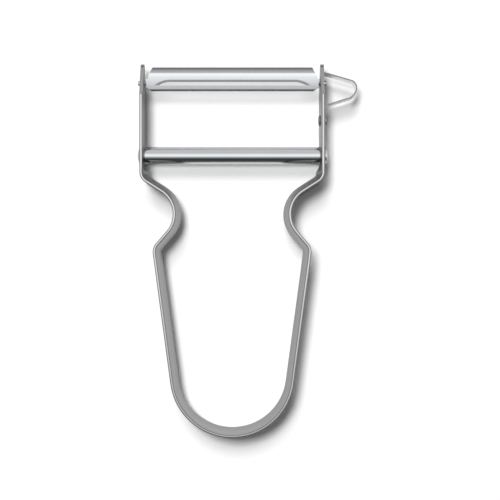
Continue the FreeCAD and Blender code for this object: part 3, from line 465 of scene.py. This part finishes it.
def lean_ramp(graph, direction, axis, stops):
    """Grey levels by how far a direction leans from straight up towards one axis, in degrees."""
    lean = graph.math("ARCTAN2", graph.part(direction, axis), graph.part(direction, "Z"))
    # The ramp's 0 to 1 stands for a lean from -90 to 90 degrees.
    ramp = graph.add("ShaderNodeValToRGB")
    graph.feed(ramp.inputs["Fac"], graph.math("MULTIPLY_ADD", lean, 1 / math.pi, 0.5))
    elements = ramp.color_ramp.elements
    while len(elements) < len(stops):
        elements.new(1.0)
    for element, (degrees, level) in zip(elements, stops):
        element.position = degrees / 180 + 0.5
        element.color = (level, level, level, 1)
    return ramp.outputs["Color"]


def seen_rays(graph):
    """1 for rays from the camera or from a mirror or glass, 0 for those that only light something."""
    path = graph.add("ShaderNodeLightPath")
    seen = graph.math("MAXIMUM", path.outputs["Is Camera Ray"], path.outputs["Is Glossy Ray"])
    return graph.math("MAXIMUM", seen, path.outputs["Is Transmission Ray"])


def studio_world(scene):
    """White to the camera. Metal mirrors light overhead, grey sides and a dark side beyond the grip."""
    world = bpy.data.worlds.new("studio")
    scene.world = world
    world.use_nodes = True
    graph = NodeGraph(world.node_tree)
    output = graph.add("ShaderNodeOutputWorld")
    background = graph.add("ShaderNodeBackground")
    graph.feed(output.inputs["Surface"], background.outputs["Background"])
    direction = graph.add("ShaderNodeTexCoord").outputs["Generated"]
    along = lean_ramp(graph, direction, "Y", STUDIO_ALONG)
    across = lean_ramp(graph, direction, "X", STUDIO_ACROSS)
    studio = graph.mix_colour(1.0, along, across, blend_type="MULTIPLY")
    camera_ray = graph.add("ShaderNodeLightPath").outputs["Is Camera Ray"]
    graph.feed(background.inputs["Color"], graph.mix_colour(camera_ray, studio, BACKDROP))
    graph.feed(background.inputs["Strength"], graph.spread(seen_rays(graph), FILL_STRENGTH, 1.0))


def pale_floor(stage):
    """A pale floor that takes the shadows near the peeler and runs out to plain white."""
    bpy.ops.mesh.primitive_plane_add(size=stage.floor_size, location=(0, 0, BAND_LOW.z))
    floor = bpy.context.object
    floor.name = "floor"
    material = bpy.data.materials.new("pale_floor")
    material.use_nodes = True
    graph = NodeGraph(material.node_tree)
    output = graph.add("ShaderNodeOutputMaterial")
    diffuse = graph.add("ShaderNodeBsdfDiffuse")
    diffuse.inputs["Color"].default_value = (*stage.floor_colour, 1)
    white = graph.add("ShaderNodeEmission")
    place = graph.add("ShaderNodeTexCoord").outputs["Object"]
    far = graph.rise(graph.vector_math("LENGTH", place), stage.floor_near, stage.floor_far)
    mixed = graph.add("ShaderNodeMixShader")
    graph.feed(mixed.inputs["Fac"], graph.math("MULTIPLY", far, seen_rays(graph)))
    graph.feed(mixed.inputs[1], diffuse.outputs["BSDF"])
    graph.feed(mixed.inputs[2], white.outputs["Emission"])
    graph.feed(output.inputs["Surface"], mixed.outputs["Shader"])
    floor.data.materials.append(material)


def new_lamp(name, kind):
    """A lamp that metal doesn't mirror, since the studio around it gives the reflections."""
    data = bpy.data.lights.new(name, kind)
    lamp = bpy.data.objects.new(name, data)
    bpy.context.scene.collection.objects.link(lamp)
    lamp.visible_glossy = False
    return lamp


def key_lamp(stage):
    """A round lamp high up, left of the blade and beyond it. Without fall-off it lights the floor evenly.

    It passes the blade and the cross bar, which leaves the floor bright in the slot and beside the bar.
    """
    lamp = new_lamp("key", "POINT")
    lamp.location = stage.key_place
    data = lamp.data
    data.shadow_soft_size = stage.key_radius
    data.energy = stage.key_strength * FULL_SPHERE
    data.use_nodes = True
    graph = NodeGraph(data.node_tree)
    output = graph.add("ShaderNodeOutputLight")
    emission = graph.add("ShaderNodeEmission")
    falloff = graph.add("ShaderNodeLightFalloff")
    falloff.inputs["Strength"].default_value = 1.0
    graph.feed(emission.inputs["Strength"], falloff.outputs["Constant"])
    graph.feed(output.inputs["Surface"], emission.outputs["Emission"])
    passes = bpy.data.collections.new("key_passes")
    for node in ("blade", "spacer_tube"):
        passes.objects.link(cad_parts[node])
    for member in passes.collection_objects:
        member.light_linking.link_state = "EXCLUDE"
    lamp.light_linking.blocker_collection = passes


def low_light(stage):
    """A weaker, lower light from the blade's side, for a soft shadow on the grip's side of each piece."""
    lamp = new_lamp("low_light", "SUN")
    lamp.data.energy = stage.low_strength
    lamp.data.angle = stage.low_spread
    to_lamp = Vector((math.tan(stage.low_lean[0]), math.tan(stage.low_lean[1]), 1))
    lamp.rotation_euler = to_lamp.to_track_quat("Z", "Y").to_euler()


def camera_overhead(stage):
    """A camera that looks straight down, its lens shifted to bring the view's centre to the middle."""
    data = bpy.data.cameras.new("camera")
    data.sensor_width = SENSOR_WIDTH
    data.lens = SENSOR_WIDTH * stage.view_distance / stage.view_width
    data.clip_start = 0.01
    data.clip_end = 20.0
    camera = bpy.data.objects.new("camera", data)
    bpy.context.scene.collection.objects.link(camera)
    camera.location = (*stage.view_foot, BAND_HIGH.z + stage.view_distance)
    data.shift_x = (stage.view_centre[0] - stage.view_foot[0]) / stage.view_width
    data.shift_y = (stage.view_centre[1] - stage.view_foot[1]) / stage.view_width
    bpy.context.scene.camera = camera


class PEELER_OT_stage(bpy.types.Operator):
    """Pale floor, studio light and the camera straight above"""

    bl_idname = "peeler.stage"
    bl_label = "Stage"

    def execute(self, context):
        stage = context.scene.peeler_stage
        context.scene.view_settings.view_transform = "Standard"
        studio_world(context.scene)
        pale_floor(stage)
        key_lamp(stage)
        low_light(stage)
        camera_overhead(stage)
        return {"FINISHED"}


OPERATORS = (
    PEELER_OT_strip,
    PEELER_OT_blade,
    PEELER_OT_bar,
    PEELER_OT_rivets,
    PEELER_OT_eye_remover,
    PEELER_OT_stage,
)


class PEELER_PT_sidebar(bpy.types.Panel):
    """The peeler's finish and stage settings, and a button for each operator"""

    bl_idname = "PEELER_PT_sidebar"
    bl_label = "Peeler"
    bl_space_type = "VIEW_3D"
    bl_region_type = "UI"
    bl_category = "Peeler"

    def draw(self, context):
        for group in (context.scene.peeler_finish, context.scene.peeler_stage):
            column = self.layout.column()
            for name in group.bl_rna.properties.keys():
                if name not in ("name", "rna_type"):
                    column.prop(group, name)
        for operator in OPERATORS:
            self.layout.operator(operator.bl_idname)


CLASSES = (PeelerFinish, PeelerStage, *OPERATORS, PEELER_PT_sidebar)


def register():
    for cls in CLASSES:
        bpy.utils.register_class(cls)
    bpy.types.Scene.peeler_finish = bpy.props.PointerProperty(type=PeelerFinish)
    bpy.types.Scene.peeler_stage = bpy.props.PointerProperty(type=PeelerStage)


def unregister():
    del bpy.types.Scene.peeler_stage
    del bpy.types.Scene.peeler_finish
    for cls in reversed(CLASSES):
        bpy.utils.unregister_class(cls)


def main():
    register()
    bpy.ops.peeler.strip()
    bpy.ops.peeler.blade()
    bpy.ops.peeler.bar()
    bpy.ops.peeler.rivets()
    bpy.ops.peeler.eye_remover()
    bpy.ops.peeler.stage()


if __name__ == "__main__":
    main()
